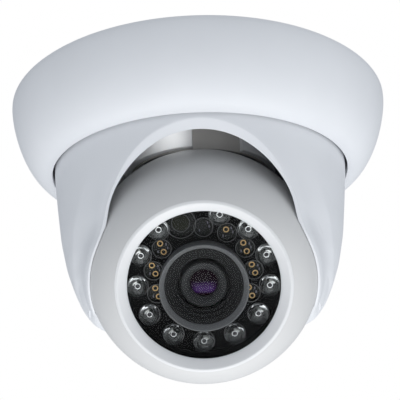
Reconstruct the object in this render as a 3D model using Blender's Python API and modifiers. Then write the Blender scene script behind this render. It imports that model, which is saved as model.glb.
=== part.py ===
"""Ceiling camera of the eyeball dome type: a trim ring, a turret that pans in it, and a ball that tilts and rolls.

Sizes are in millimetres and become metres as each mesh is made. The origin is the centre of the face that lies
on the ceiling, +Z is up, and the camera hangs below it and looks towards -Y.
"""

import math

import bmesh
import bpy
from mathutils import Euler, Matrix, Vector

MM = 0.001

# Overall
RING_R = 55.0  # trim ring at the ceiling
GAP = 0.3  # running clearance between neighbours

# Trim ring
RING_EDGE = 1.0  # straight edge at the ceiling
RING_DROP = 20.4  # ceiling to the lip
LIP_R = 42.86
RING_WALL = 2.2

# Base plate and hub
PLATE_R = RING_R - RING_WALL - 0.6
PLATE_T = 2.6
HUB_R = 27.6
HUB_BORE = 23.4
HUB_DROP = 9.0
GASKET_R = (45.0, 49.0)
CABLE_HOLE_R = 5.0
CABLE_HOLE_AT = (0.0, 12.0)
CEILING_HOLE_R = 2.2
CEILING_HOLE_PITCH = 36.0

# Collar that carries the turret, screwed to the hub
COLLAR_R = 22.0
COLLAR_WALL = 1.5
COLLAR_DROP = 19.5
COLLAR_FLANGE_R = 31.0
COLLAR_FLANGE_T = 2.0
COLLAR_GAP_DEG = (-5.0, 33.0)  # the open part of the skirt, measured from the front towards +X
COLLAR_SKIRT_DEG = 100.0  # the skirt reaches this far round on both sides
COLLAR_SCREW_PITCH = 25.5
COLLAR_SCREW_R = 1.0
SLEEVE_R = (19.4, 20.2)  # sleeve inside the collar, seen where the skirt is open
SLEEVE_DROP = 18.9

# Turret
TURRET_TOP = 6.2
TURRET_WALL = 1.4
TURRET_FLOOR = 62.0
TURRET_FLANGE_T = 2.0

# Ball
BALL_R = 31.4
BALL_Y = -10.1
BALL_Z = -49.6
LOOK_DOWN_DEG = 34.0  # the optical axis below the horizontal at rest
SOCKET_GAP = 0.4
SOCKET_WALL = 1.2
SEAT_SLOPE_DEG = 19.3  # the seat's wall ends at a slope, where it is already inside the turret's own wall
SEAT_RISE = 2.8
SEAM = -3.0  # seam between the ball's shells, along the optical axis
BALL_WALL = 2.0
SPINDLE_R = 4.4
SHELL_SCREW_PITCH = 22.5
SHOULDER = 10.0  # where the front shell leaves the sphere
FACE = 19.9  # outer edge of the bezel, along the optical axis
BEZEL_R = 22.0
SEAT = 16.0  # step in the front shell that carries the bezel and the glass
SEAT_R = 20.2
WINDOW_R = 19.05
GLASS_R = 20.9
GLASS_T = 1.3
GLASS_FRONT = 18.6

# Tilt yoke
YOKE_IN = 31.7
YOKE_OUT = 32.7
YOKE_HALF = 4.0
PIVOT_R = 1.5
PIVOT_REACH = 34.2
TILT_UP_DEG = 9.0  # how far the optical axis can rise above its rest direction

# Light board, mask, light sensor and lens
LED_COUNT = 12
LED_STEP_DEG = 360.0 / (LED_COUNT + 1)
SENSOR_SLOT = 7  # the place on the LED circle that the light sensor takes
LED_PITCH = 17.1
LED_RISE = 0.35  # the circle of LEDs sits this far above the centre of the window
FACE_TURN_DEG = -1.4  # the light board sits turned by this much
LED_R = 2.5
LED_FLANGE_R = 2.6
LED_FLANGE_T = 0.8
LED_TIP = 16.0
MASK = (11.5, 12.3)
MASK_R = 19.8
MASK_HOLE_R = 3.05
BOARD = (10.0, 11.2)
BOARD_R = 19.5
PAD_HOLE_R = 1.9
PAD_PITCH = 12.9
PAD_RISE = 0.8
LIGHT_SENSOR_PITCH = 15.8
LIGHT_SENSOR_DEG = 110.0
LIGHT_SENSOR_R = 2.2
LIGHT_WELL_R = 3.5
LENS_DROP = 1.1  # the lens sits this far below the centre of the window
LENS_BORE = 7.2
SHROUD_R = 11.4
SHROUD_TIP = 17.0
BARREL_R = 5.9
BARREL_TIP = 13.4
PUPIL_R = 4.2
SENSOR_BOARD = (-2.4, -1.2)
MAIN_BOARD = (-11.2, -9.8)

LOOK = math.radians(90.0 + LOOK_DOWN_DEG)  # turns +Z to the optical axis
WHITE = (0.80, 0.81, 0.82)


def clear_scene():
    for obj in list(bpy.data.objects):
        bpy.data.objects.remove(obj, do_unlink=True)
    for collection in list(bpy.data.collections):
        bpy.data.collections.remove(collection)


def collection_named(name):
    made = bpy.data.collections.new(name)
    bpy.context.scene.collection.children.link(made)
    return made


def material(name, colour, roughness, metallic=0.0, alpha=1.0):
    made = bpy.data.materials.new(name)
    made.use_nodes = True
    shader = made.node_tree.nodes["Principled BSDF"]
    shader.inputs["Base Color"].default_value = (*colour, 1.0)
    shader.inputs["Roughness"].default_value = roughness
    shader.inputs["Metallic"].default_value = metallic
    shader.inputs["Alpha"].default_value = alpha
    made.diffuse_color = (*colour, alpha)
    return made


clear_scene()
PARTS = collection_named("dome_camera")
CUTTERS = collection_named("cutters")
MATERIALS = {
    "white_shell": material("white_shell", WHITE, 0.35),
    "white_inner": material("white_inner", (0.72, 0.73, 0.74), 0.5),
    "cast_metal": material("cast_metal", (0.55, 0.56, 0.58), 0.5, 1.0),
    "rubber": material("rubber", (0.03, 0.03, 0.03), 0.8),
    "steel": material("steel", (0.6, 0.6, 0.62), 0.3, 1.0),
    "glass": material("glass", (0.9, 0.93, 0.95), 0.03, 0.0, 0.2),
    "black_mask": material("black_mask", (0.015, 0.015, 0.016), 0.45),
    "circuit": material("circuit", (0.02, 0.10, 0.04), 0.4),
    "led_epoxy": material("led_epoxy", (0.82, 0.86, 0.9), 0.05, 0.0, 0.6),
    "shroud": material("shroud", (0.06, 0.06, 0.065), 0.6),
    "lens_glass": material("lens_glass", (0.05, 0.02, 0.09), 0.02),
    "black_plastic": material("black_plastic", (0.02, 0.02, 0.02), 0.4),
    "white_plug": material("white_plug", (0.8, 0.78, 0.72), 0.5),
}


def empty(name, location, rotation=(0.0, 0.0, 0.0), parent=None):
    made = bpy.data.objects.new(name, None)
    PARTS.objects.link(made)
    made.location = Vector(location) * MM
    made.rotation_euler = rotation
    made.parent = parent
    return made


def place(mesh, name, slot, parent, location=(0.0, 0.0, 0.0), rotation=(0.0, 0.0, 0.0)):
    """An object in the parts collection, or a hidden cutter where slot is None."""
    made = bpy.data.objects.new(name, mesh)
    (PARTS if slot else CUTTERS).objects.link(made)
    made.parent = parent
    made.location = Vector(location) * MM
    made.rotation_euler = rotation
    if slot:
        mesh.materials.append(MATERIALS[slot])
    else:
        made.hide_render = True
        made.display_type = "WIRE"
    return made


def smooth(obj):
    obj.data.shade_smooth()
    obj.data.set_sharp_from_angle(angle=math.radians(35.0))


def turned(name, slot, outline, parent, steps=64, **where):
    """A turned piece from (radius, height) points. An outline that touches the axis stays open there."""
    points = [Vector((r, 0.0, h)) * MM for r, h in outline]
    area = sum(a[0] * b[1] - b[0] * a[1] for a, b in zip(outline, outline[1:] + outline[:1]))
    if area > 0:
        points.reverse()
    ends_on_axis = outline[0][0] == 0 and outline[-1][0] == 0
    mesh = bpy.data.meshes.new(name)
    last = len(points)
    edges = [(i, i + 1) for i in range(last - 1)]
    if not ends_on_axis:
        edges.append((last - 1, 0))
    mesh.from_pydata(points, edges, [])
    made = place(mesh, name, slot, parent, **where)
    screw = made.modifiers.new("turn", "SCREW")
    screw.steps = steps
    screw.render_steps = steps
    screw.use_merge_vertices = True
    screw.merge_threshold = 1e-6
    screw.use_smooth_shade = True
    return made


def rod(name, slot, radius, low, high, parent, sides=16, axis="Z", at=(0.0, 0.0), **where):
    """A cylinder along one axis of its parent, from low to high, with its centre line at the other two."""
    mesh = bpy.data.meshes.new(name)
    work = bmesh.new()
    bmesh.ops.create_cone(
        work, cap_ends=True, segments=sides, radius1=radius * MM, radius2=radius * MM, depth=(high - low) * MM
    )
    middle = (low + high) / 2
    turn, shift = {
        "Z": (Matrix(), (at[0], at[1], middle)),
        "X": (Matrix.Rotation(math.pi / 2, 4, "Y"), (middle, at[0], at[1])),
        "Y": (Matrix.Rotation(-math.pi / 2, 4, "X"), (at[0], middle, at[1])),
    }[axis]
    bmesh.ops.transform(work, matrix=Matrix.Translation(Vector(shift) * MM) @ turn, verts=work.verts)
    work.to_mesh(mesh)
    work.free()
    made = place(mesh, name, slot, parent, **where)
    smooth(made)
    return made


def block(name, slot, low, high, parent, **where):
    """A box between two corners."""
    mesh = bpy.data.meshes.new(name)
    work = bmesh.new()
    bmesh.ops.create_cube(work, size=1.0)
    size = [(b - a) * MM for a, b in zip(low, high)]
    centre = [(a + b) / 2 * MM for a, b in zip(low, high)]
    matrix = Matrix.Translation(centre) @ Matrix.Diagonal((*size, 1.0))
    bmesh.ops.transform(work, matrix=matrix, verts=work.verts)
    work.to_mesh(mesh)
    work.free()
    return place(mesh, name, slot, parent, **where)


def ball_cutter(name, radius, parent, rings=24):
    """A sphere round the ball's centre."""
    mesh = bpy.data.meshes.new(name)
    work = bmesh.new()
    bmesh.ops.create_uvsphere(work, u_segments=2 * rings, v_segments=rings, radius=radius * MM)
    work.to_mesh(mesh)
    work.free()
    return place(mesh, name, None, parent)


def boolean(target, other, operation):
    step = target.modifiers.new(other.name, "BOOLEAN")
    step.operation = operation
    step.object = other
    step.solver = "EXACT"


def cut(target, other):
    boolean(target, other, "DIFFERENCE")


def join(target, other):
    boolean(target, other, "UNION")


def keep(target, other):
    boolean(target, other, "INTERSECT")


def polar(pitch, degrees):
    angle = math.radians(degrees)
    return pitch * math.cos(angle), pitch * math.sin(angle)


def arc(centre, radius, start_deg, end_deg, count):
    """Points of a circle's arc in a profile's plane, both ends included."""
    step = (end_deg - start_deg) / (count - 1)
    return [
        (centre[0] + radius * math.cos(math.radians(start_deg + i * step)),
         centre[1] + radius * math.sin(math.radians(start_deg + i * step)))
        for i in range(count)
    ]


BASE = empty("base_frame", (0, 0, 0))
TURRET = empty("turret_frame", (0, 0, 0), parent=BASE)
TILT = empty("tilt_frame", (0, BALL_Y, BALL_Z), (LOOK, 0.0, 0.0), parent=TURRET)
BALL = empty("ball_frame", (0, 0, 0), parent=TILT)
SOCKET = empty("socket_frame", (0, BALL_Y, BALL_Z), parent=TURRET)


# ---------------------------------------------------------------- base


def bell(edge, lip, top, drop, count):
    """The flare of the trim ring: a squared-off quarter of an ellipse from the ceiling to the lip."""
    points = []
    for i in range(count):
        turn = math.pi / 2 * i / (count - 1)
        radius = lip + (edge - lip) * max(math.cos(turn), 0.0) ** 0.94
        points.append((radius, -top - (drop - top) * math.sin(turn) ** 1.445))
    return points


def trim_ring():
    outside = [(RING_R, 0.0)] + bell(RING_R, LIP_R, RING_EDGE, RING_DROP, 9)
    inside = bell(RING_R - RING_WALL, LIP_R, RING_EDGE, RING_DROP - RING_WALL, 6)[::-1]
    turned("trim_ring", "white_shell", outside + inside + [(RING_R - RING_WALL, 0.0)], BASE, steps=72)


def mounting_base():
    groove = 1.2
    outline = [
        (0, 0.0),
        (GASKET_R[0] - GAP, 0.0), (GASKET_R[0] - GAP, -groove),
        (GASKET_R[1] + GAP, -groove), (GASKET_R[1] + GAP, 0.0),
        (PLATE_R, 0.0), (PLATE_R, -PLATE_T), (HUB_R, -PLATE_T), (HUB_R, -HUB_DROP),
        (HUB_BORE, -HUB_DROP), (HUB_BORE, -PLATE_T), (0, -PLATE_T),
    ]
    made = turned("mounting_base", "cast_metal", outline, BASE, steps=40)
    cut(made, rod("cable_hole", None, CABLE_HOLE_R, -5, 1, BASE, sides=20, at=CABLE_HOLE_AT))
    for i in range(3):
        at = polar(CEILING_HOLE_PITCH, 90 + 120 * i)
        cut(made, rod(f"ceiling_hole_{i + 1}", None, CEILING_HOLE_R, -5, 1, BASE, sides=12, at=at))
        at = polar(COLLAR_SCREW_PITCH, 30 + 120 * i)
        cut(made, rod(f"hub_hole_{i + 1}", None, COLLAR_SCREW_R + GAP, -12, -4, BASE, sides=8, at=at))
    turned(
        "ceiling_gasket", "rubber",
        [(GASKET_R[0], 0.0), (GASKET_R[1], 0.0), (GASKET_R[1], -0.9), (GASKET_R[0], -0.9)],
        BASE, steps=40,
    )


def pan_retainer():
    top = -HUB_DROP - GAP
    under = top - COLLAR_FLANGE_T
    inner = COLLAR_R - COLLAR_WALL
    outline = [
        (inner, top), (COLLAR_FLANGE_R, top), (COLLAR_FLANGE_R, under), (COLLAR_R, under),
        (COLLAR_R, -COLLAR_DROP), (inner, -COLLAR_DROP),
    ]
    made = turned("pan_retainer", "white_inner", outline, BASE, steps=60)
    reach = 40.0
    depth = (-COLLAR_DROP - 1.0, under)
    # The skirt keeps only its front, and that front has one opening.
    gap = wedge("collar_gap", COLLAR_GAP_DEG[0], COLLAR_GAP_DEG[1], reach, depth)
    back = wedge("collar_back", COLLAR_SKIRT_DEG, 360 - COLLAR_SKIRT_DEG, reach, depth)
    cut(made, gap)
    cut(made, back)
    for i in range(3):
        at = polar(COLLAR_SCREW_PITCH, 30 + 120 * i)
        cut(made, rod(f"collar_hole_{i + 1}", None, COLLAR_SCREW_R + GAP, -13, -8, BASE, sides=8, at=at))
        head = under - GAP
        turned(
            f"retainer_screw_{i + 1}", "steel",
            [(0, -5.0), (COLLAR_SCREW_R, -5.0), (COLLAR_SCREW_R, head), (2.1, head), (1.8, head - 1.4),
             (0, head - 1.4)],
            BASE, steps=8, location=(*at, 0.0),
        )
    bore, rim = SLEEVE_R
    sleeve_outline = [(bore, top), (rim, top), (rim, -SLEEVE_DROP), (bore, -SLEEVE_DROP)]
    sleeve = turned("hub_sleeve", "white_inner", sleeve_outline, BASE, steps=48)
    depth = (-SLEEVE_DROP - 1.0, top + 1.0)
    cut(sleeve, wedge("sleeve_back", COLLAR_SKIRT_DEG, 360 - COLLAR_SKIRT_DEG, reach, depth))


def wedge(name, start_deg, end_deg, reach, heights):
    """A cutter shaped as a slice of a disc; angles run from the front (-Y) towards +X."""
    count = max(2, int(abs(end_deg - start_deg) // 30) + 2)
    outline = [(0.0, 0.0)]
    for i in range(count):
        angle = math.radians(start_deg + (end_deg - start_deg) * i / (count - 1))
        outline.append((reach * math.sin(angle), -reach * math.cos(angle)))
    work = bmesh.new()
    face = work.faces.new([work.verts.new(Vector((x, y, heights[0])) * MM) for x, y in outline])
    grown = bmesh.ops.extrude_face_region(work, geom=[face])["geom"]
    lift = Vector((0, 0, heights[1] - heights[0])) * MM
    bmesh.ops.translate(work, vec=lift, verts=[v for v in grown if isinstance(v, bmesh.types.BMVert)])
    bmesh.ops.recalc_face_normals(work, faces=work.faces)
    mesh = bpy.data.meshes.new(name)
    work.to_mesh(mesh)
    work.free()
    return place(mesh, name, None, BASE)


def cable():
    turned(
        "cable_grommet", "rubber",
        [(2.9, -0.2), (CABLE_HOLE_R - GAP, -0.2), (CABLE_HOLE_R - GAP, -PLATE_T - GAP), (7.5, -PLATE_T - GAP),
         (7.0, -PLATE_T - 1.8), (3.6, -PLATE_T - 3.4), (2.9, -PLATE_T - 3.4)],
        BASE, steps=20, location=(*CABLE_HOLE_AT, 0.0),
    )
    rod("signal_cable", "black_plastic", 2.5, -9.0, -0.2, BASE, sides=16, at=CABLE_HOLE_AT)


# ---------------------------------------------------------------- turret

TURRET_SIDE = (  # radius at each depth of the turret's outer wall
    (42.2, TURRET_TOP), (42.2, 20.4), (41.1, 30.0), (39.75, 40.0), (37.95, 48.0), (35.8, 54.0), (33.5, 59.0),
    (31.9, TURRET_FLOOR - 0.6), (31.0, TURRET_FLOOR),
)
HOOD_SIDE = (  # the opening's edge seen from the side: y and depth
    (-42.9, 20.0), (-35.2, 34.5), (-28.2, 47.6), (-25.4, 51.2), (-21.6, 55.0), (-12.0, 63.5),
)


def side_cutter(name, line, reach_x, parent):
    """Everything in front of and below a line in the Y-Z plane, as wide as the turret."""
    far = 60.0
    outline = [(y, -depth) for y, depth in line] + [(line[-1][0], -far - 40), (-far, -far - 40), (-far, -line[0][1])]
    work = bmesh.new()
    face = work.faces.new([work.verts.new(Vector((-reach_x, y, z)) * MM) for y, z in outline])
    grown = bmesh.ops.extrude_face_region(work, geom=[face])["geom"]
    verts = [v for v in grown if isinstance(v, bmesh.types.BMVert)]
    bmesh.ops.translate(work, vec=Vector((2 * reach_x, 0, 0)) * MM, verts=verts)
    bmesh.ops.recalc_face_normals(work, faces=work.faces)
    mesh = bpy.data.meshes.new(name)
    work.to_mesh(mesh)
    work.free()
    return place(mesh, name, None, parent)


def turret_housing():
    flange_under = TURRET_TOP + TURRET_FLANGE_T
    wall = TURRET_WALL
    outside = [(radius, -depth) for radius, depth in TURRET_SIDE]
    inside = [(radius - wall, -depth) for radius, depth in TURRET_SIDE[1:7]]
    hub_gap = 0.6
    floor_top = -(TURRET_FLOOR - 1.6)
    outline = (
        [(HUB_R + hub_gap, -TURRET_TOP)] + outside + [(0, -TURRET_FLOOR), (0, floor_top)]
        + [(TURRET_SIDE[6][0] - wall - 0.6, floor_top)] + inside[::-1]
        + [(TURRET_SIDE[0][0] - wall, -flange_under), (HUB_R + hub_gap, -flange_under)]
    )
    made = turned("turret_housing", "white_shell", outline, TURRET, steps=60)
    # A spherical wall round the lower front of the ball, which holds it.
    seat = ball_cutter("seat_wall", BALL_R + SOCKET_GAP + SOCKET_WALL, SOCKET)
    slope = (-math.radians(SEAT_SLOPE_DEG), 0, 0)
    keep(seat, block("seat_top", None, (-60, -60, -80), (60, 60, SEAT_RISE), SOCKET, rotation=slope))
    keep(seat, block("seat_floor", None, (-60, -60, -(TURRET_FLOOR - 0.1)), (60, 60, -10), TURRET))
    join(made, seat)
    for side in (-1, 1):
        reach = sorted((side * (YOKE_OUT + GAP + 0.05), side * (PIVOT_REACH + GAP + 0.1)))
        join(made, rod(f"pivot_boss_{side}", None, PIVOT_R + 1.1, *reach, SOCKET, sides=16, axis="X"))
    cut(made, ball_cutter("socket", BALL_R + SOCKET_GAP, SOCKET, rings=20))
    # Room for the yoke, whose arms swing between pointing up and pointing up and back.
    sweep = ball_cutter("yoke_sweep", YOKE_OUT + GAP, SOCKET)
    room = YOKE_HALF + 0.6
    lowest_deg = LOOK_DOWN_DEG - TILT_UP_DEG
    half_swing = (90.0 - lowest_deg) / 2
    limits = (
        (0.0, room),
        (lowest_deg + 90.0, room),
        (lowest_deg + half_swing, room * math.sin(math.radians(half_swing))),
    )
    for number, (normal_deg, reach) in enumerate(limits, 1):
        turn = (math.radians(normal_deg - 90.0), 0.0, 0.0)
        keep(sweep, block(f"sweep_limit_{number}", None, (-60, -70, -reach), (60, 70, 70), SOCKET, rotation=turn))
    cut(made, sweep)
    for side in (-1, 1):
        disc = sorted((side * 30.0, side * (YOKE_OUT + GAP)))
        cut(made, rod(f"arm_room_{side}", None, YOKE_HALF + 0.4, *disc, SOCKET, sides=20, axis="X"))
        pin = sorted((side * 30.0, side * (PIVOT_REACH + GAP)))
        cut(made, rod(f"pin_bore_{side}", None, PIVOT_R + GAP, *pin, SOCKET, sides=12, axis="X"))
    cut(made, side_cutter("hood_cut", HOOD_SIDE, 60.0, TURRET))
    turned(
        "pan_washer", "rubber",
        [(HUB_R + 1.0, -flange_under - 0.25), (COLLAR_FLANGE_R - 0.4, -flange_under - 0.25),
         (COLLAR_FLANGE_R - 0.4, -HUB_DROP - 0.05), (HUB_R + 1.0, -HUB_DROP - 0.05)],
        TURRET, steps=40,
    )


# ---------------------------------------------------------------- yoke


def tilt_yoke():
    out = YOKE_OUT
    half = YOKE_HALF
    made = turned(
        "tilt_yoke", "steel",
        [(YOKE_IN, half), (out, half), (out, -half), (YOKE_IN, -half)],
        TILT, steps=48, rotation=(math.pi / 2, 0, 0),
    )
    # Only the half behind the pivots stays, with round ends.
    part = block("yoke_back", None, (-40, -10, -40), (40, 10, 0), TILT)
    for side in (-1, 1):
        ends = sorted((side * 25.0, side * 40.0))
        join(part, rod(f"yoke_end_{side}", None, half + 0.02, *ends, TILT, sides=24, axis="X"))
    keep(made, part)
    for side in (-1, 1):
        reach = sorted((side * (out - 0.5), side * PIVOT_REACH))
        join(made, rod(f"yoke_pin_{side}", None, PIVOT_R, *reach, TILT, sides=12, axis="X"))
    pad = rod("spindle_pad", None, 7.0, -34.0, -30.0, TILT, sides=24)
    keep(pad, ball_cutter("pad_outside", YOKE_OUT, TILT, rings=20))
    cut(pad, ball_cutter("pad_inside", YOKE_IN, TILT, rings=20))
    join(made, pad)
    cut(made, rod("spindle_hole", None, SPINDLE_R + GAP, -40, -25, TILT, sides=24))
    turned(
        "spindle_washer", "steel",
        [(SPINDLE_R + 0.35, -out - 0.25), (6.6, -out - 0.25), (6.6, -out - 0.65), (SPINDLE_R + 0.35, -out - 0.65)],
        TILT, steps=24,
    )


# ---------------------------------------------------------------- ball


def ball_arc(radius, start, end, count):
    """Points on a sphere round the ball's centre, from one height along the optical axis to another."""
    first = math.degrees(math.asin(start / radius))
    last = math.degrees(math.asin(end / radius))
    return arc((0.0, 0.0), radius, first, last, count)


def shoulder(count):
    """From the sphere to the bezel by a tighter arc that leaves the sphere smoothly."""
    start = Vector((math.sqrt(BALL_R ** 2 - SHOULDER ** 2), SHOULDER))
    end = Vector((BEZEL_R + GAP, FACE))
    normal = start / BALL_R
    chord = end - start
    radius = -chord.length_squared / (2 * chord.dot(normal))
    centre = start - normal * radius
    first = math.degrees(math.atan2(*(start - centre).yx))
    last = math.degrees(math.atan2(*(end - centre).yx))
    return arc(centre, radius, first, last, count)


def ball_shells():
    inner = BALL_R - BALL_WALL
    outside = shoulder(5)[::-1] + ball_arc(BALL_R, SHOULDER, SEAM, 4)[1:]
    inside = [
        (inner - 0.1, SEAM), (inner - 0.2, 3.0), (27.2, 9.5), (25.2, 12.6), (22.0, 12.6), (22.0, 9.6),
        (SEAT_R, 9.6), (SEAT_R, SEAT), (BEZEL_R + GAP, SEAT),
    ]
    front = turned("ball_front_shell", "white_shell", outside + inside, BALL, steps=60)
    pole = SPINDLE_R + GAP
    rear_out = ball_arc(BALL_R, SEAM - GAP, -math.sqrt(BALL_R ** 2 - pole ** 2), 9)
    rear_in = ball_arc(inner, -math.sqrt(inner ** 2 - pole ** 2), SEAM - GAP, 7)
    rear = turned("ball_rear_shell", "white_shell", rear_out + rear_in, BALL, steps=48)
    post_end = -14.6
    head = -18.0
    for i in range(3):
        at = polar(SHELL_SCREW_PITCH, 90 + 120 * i)
        # A post of the front shell, a boss of the rear shell, and the screw that draws them together.
        join(front, rod(f"post_{i + 1}", None, 2.2, post_end, 13.5, BALL, sides=12, at=at))
        cut(front, rod(f"post_bore_{i + 1}", None, 1.3, post_end - 5, post_end + 6, BALL, sides=8, at=at))
        boss = rod(f"boss_{i + 1}", None, 3.4, -22.0, post_end - GAP, BALL, sides=14, at=at)
        keep(boss, ball_cutter(f"boss_limit_{i + 1}", BALL_R - 0.5, BALL, rings=16))
        join(rear, boss)
        cut(rear, rod(f"head_room_{i + 1}", None, 2.4, -30.0, head, BALL, sides=12, at=at))
        cut(rear, rod(f"shank_room_{i + 1}", None, 1.3, -24.0, -10.0, BALL, sides=8, at=at))
        turned(
            f"shell_screw_{i + 1}", "steel",
            [(0, post_end + 5), (1.0, post_end + 5), (1.0, head - 0.1), (2.0, head - 0.1), (1.8, head - 1.2),
             (0, head - 1.2)],
            BALL, steps=8, location=(*at, 0.0),
        )
    turned(
        "shell_seal", "rubber",
        [(inner - 1.6, SEAM + 1.0), (inner - 0.5, SEAM + 1.0), (inner - 0.5, SEAM - 1.0), (inner - 1.6, SEAM - 1.0)],
        BALL, steps=40,
    )
    cable_bore = 2.6
    outline = [
        (cable_bore, -25.6), (7.0, -25.6), (7.0, -27.6), (SPINDLE_R, -27.6),
        (SPINDLE_R, -34.4), (6.4, -34.4), (6.4, -36.0), (cable_bore, -36.0),
    ]
    turned("ball_spindle", "black_plastic", outline, BALL, steps=24)


def window():
    lip = FACE - 0.7
    under = GLASS_FRONT + GAP
    seat = 16.3
    turned(
        "bezel_ring", "white_shell",
        [(BEZEL_R, FACE - 0.1), (BEZEL_R, seat), (GLASS_R + GAP, seat), (GLASS_R + GAP, under), (WINDOW_R, under),
         (WINDOW_R, lip), (BEZEL_R - 0.3, FACE)],
        BALL, steps=64,
    )
    rear = GLASS_FRONT - GLASS_T
    rod("front_glass", "glass", GLASS_R, rear, GLASS_FRONT, BALL, sides=56)
    turned(
        "glass_gasket", "rubber",
        [(20.2, rear - 0.15), (20.9, rear - 0.15), (20.9, 16.2), (20.2, 16.2)],
        BALL, steps=40,
    )


def face_place(slot, pitch, rise):
    x, y = polar(pitch, FACE_TURN_DEG - 90 + slot * LED_STEP_DEG)
    return x, y + rise


def led_places():
    """(slot, x, y) for each LED; the light sensor takes one slot."""
    for slot in range(LED_COUNT + 1):
        if slot != SENSOR_SLOT:
            yield slot, *face_place(slot, LED_PITCH, LED_RISE)


def pad_places():
    """Centres of the spare round holes between the LEDs, on the upper part of the face."""
    for slot in (2, 3, 4, 5, 6, 8, 9, 10):
        yield slot, *face_place(slot + 0.5, PAD_PITCH, PAD_RISE)


def light_board():
    mask = rod("led_mask", "black_mask", MASK_R, *MASK, BALL, sides=56)
    for slot, x, y in led_places():
        cut(mask, rod(f"led_hole_{slot}", None, MASK_HOLE_R, 5, 15, BALL, sides=12, at=(x, y)))
    for slot, x, y in pad_places():
        cut(mask, rod(f"pad_hole_{slot}", None, PAD_HOLE_R, 5, 15, BALL, sides=10, at=(x, y)))
    at = polar(LIGHT_SENSOR_PITCH, LIGHT_SENSOR_DEG)
    cut(mask, rod("light_well", None, LIGHT_WELL_R, 5, 15, BALL, sides=16, at=at))
    cut(mask, rod("mask_bore", None, LENS_BORE, 5, 15, BALL, sides=28, at=(0, -LENS_DROP)))
    turned(
        "light_sensor", "black_plastic",
        [(0, 12.6), (LIGHT_SENSOR_R, 12.6), (LIGHT_SENSOR_R, BOARD[1] + 0.2), (0, BOARD[1] + 0.2)],
        BALL, steps=14, location=(*at, 0.0),
    )
    board = rod("led_board", "circuit", BOARD_R, *BOARD, BALL, sides=48)
    cut(board, rod("board_bore", None, LENS_BORE, 5, 15, BALL, sides=28, at=(0, -LENS_DROP)))
    dome = LED_TIP - LED_R
    for number, (slot, x, y) in enumerate(led_places(), 1):
        outline = arc((0.0, dome), LED_R, 90, 0, 4)
        outline[0] = (0, LED_TIP)
        foot = MASK[0]
        outline += [(LED_R, foot + LED_FLANGE_T), (LED_FLANGE_R, foot + LED_FLANGE_T), (LED_FLANGE_R, foot), (0, foot)]
        turned(f"ir_led_{number:02d}", "led_epoxy", outline, BALL, steps=12, location=(x, y, 0.0))


def lens_stack():
    where = {"location": (0.0, -LENS_DROP, 0.0)}
    foot = MASK[1] + GAP
    turned(
        "lens_shroud", "shroud",
        [(SHROUD_R, SHROUD_TIP - 0.2), (SHROUD_R, foot), (6.6, foot), (6.6, 13.2), (7.8, 13.2), (7.8, 14.2),
         (8.7, 14.2), (8.7, 15.2), (9.4, 15.2), (9.4, SHROUD_TIP - 0.7), (SHROUD_R - 0.3, SHROUD_TIP)],
        BALL, steps=36, **where,
    )
    glass = 12.4
    turned(
        "lens_barrel", "black_plastic",
        [(BARREL_R, BARREL_TIP - 0.3), (BARREL_R, 2.0), (PUPIL_R - 1.0, 2.0), (PUPIL_R - 1.0, 9.0),
         (PUPIL_R + GAP, 9.0), (PUPIL_R + GAP, BARREL_TIP - 0.7), (BARREL_R - 0.4, BARREL_TIP)],
        BALL, steps=32, **where,
    )
    dome_r = 9.0
    rise = dome_r - math.sqrt(dome_r ** 2 - PUPIL_R ** 2)
    first = math.degrees(math.acos(PUPIL_R / dome_r))
    front = arc((0.0, glass - dome_r), dome_r, first, 90, 5)
    front[-1] = (0, glass)
    turned("front_lens", "lens_glass", front[::-1] + [(PUPIL_R, glass - rise - 1.2), (0, glass - rise - 1.2)],
           BALL, steps=28, **where)
    turned(
        "lens_holder", "black_plastic",
        [(BARREL_R + GAP, 8.6), (BARREL_R + 1.5, 8.6), (BARREL_R + 1.5, 2.4), (9.4, 2.4), (9.4, SENSOR_BOARD[1] + GAP),
         (6.0, SENSOR_BOARD[1] + GAP), (6.0, 0.4), (BARREL_R + GAP, 1.7)],
        BALL, steps=24, **where,
    )
    block("ir_cut_filter", "lens_glass", (-3.4, -3.4, 0.5), (3.4, 3.4, 1.1), BALL, **where)
    block("image_sensor", "black_plastic", (-3.6, -3.6, SENSOR_BOARD[1] + 0.1), (3.6, 3.6, -0.2), BALL, **where)


def boards():
    block("sensor_board", "circuit", (-15, -15, SENSOR_BOARD[0]), (15, 15, SENSOR_BOARD[1]), BALL)
    block("main_board", "circuit", (-17, -17, MAIN_BOARD[0]), (17, 17, MAIN_BOARD[1]), BALL)
    for i, side in enumerate((-1, 1), 1):
        rod(f"board_spacer_{i}", "steel", 1.6, MAIN_BOARD[1] + GAP, SENSOR_BOARD[0] - GAP, BALL, sides=8,
            at=(side * 12.0, side * 12.0))
    block("board_plug", "white_plug", (-6, -13, MAIN_BOARD[0] - 4.3), (6, -8, MAIN_BOARD[0] - GAP), BALL)


trim_ring()
mounting_base()
pan_retainer()
cable()
turret_housing()
tilt_yoke()
ball_shells()
window()
light_board()
lens_stack()
boards()
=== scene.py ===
"""Looks for the ceiling eyeball camera: fine pieces, procedural materials, soft studio light and a camera.

Lengths are in millimetres until a mesh is made; materials, lights and the camera's clip are in metres.
The ball's own frame has +Z along the optical axis, +X as the world has it, and +Y up the face.
"""
import math

import bmesh
import bpy
import numpy as np
from mathutils import Matrix, Vector

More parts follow.
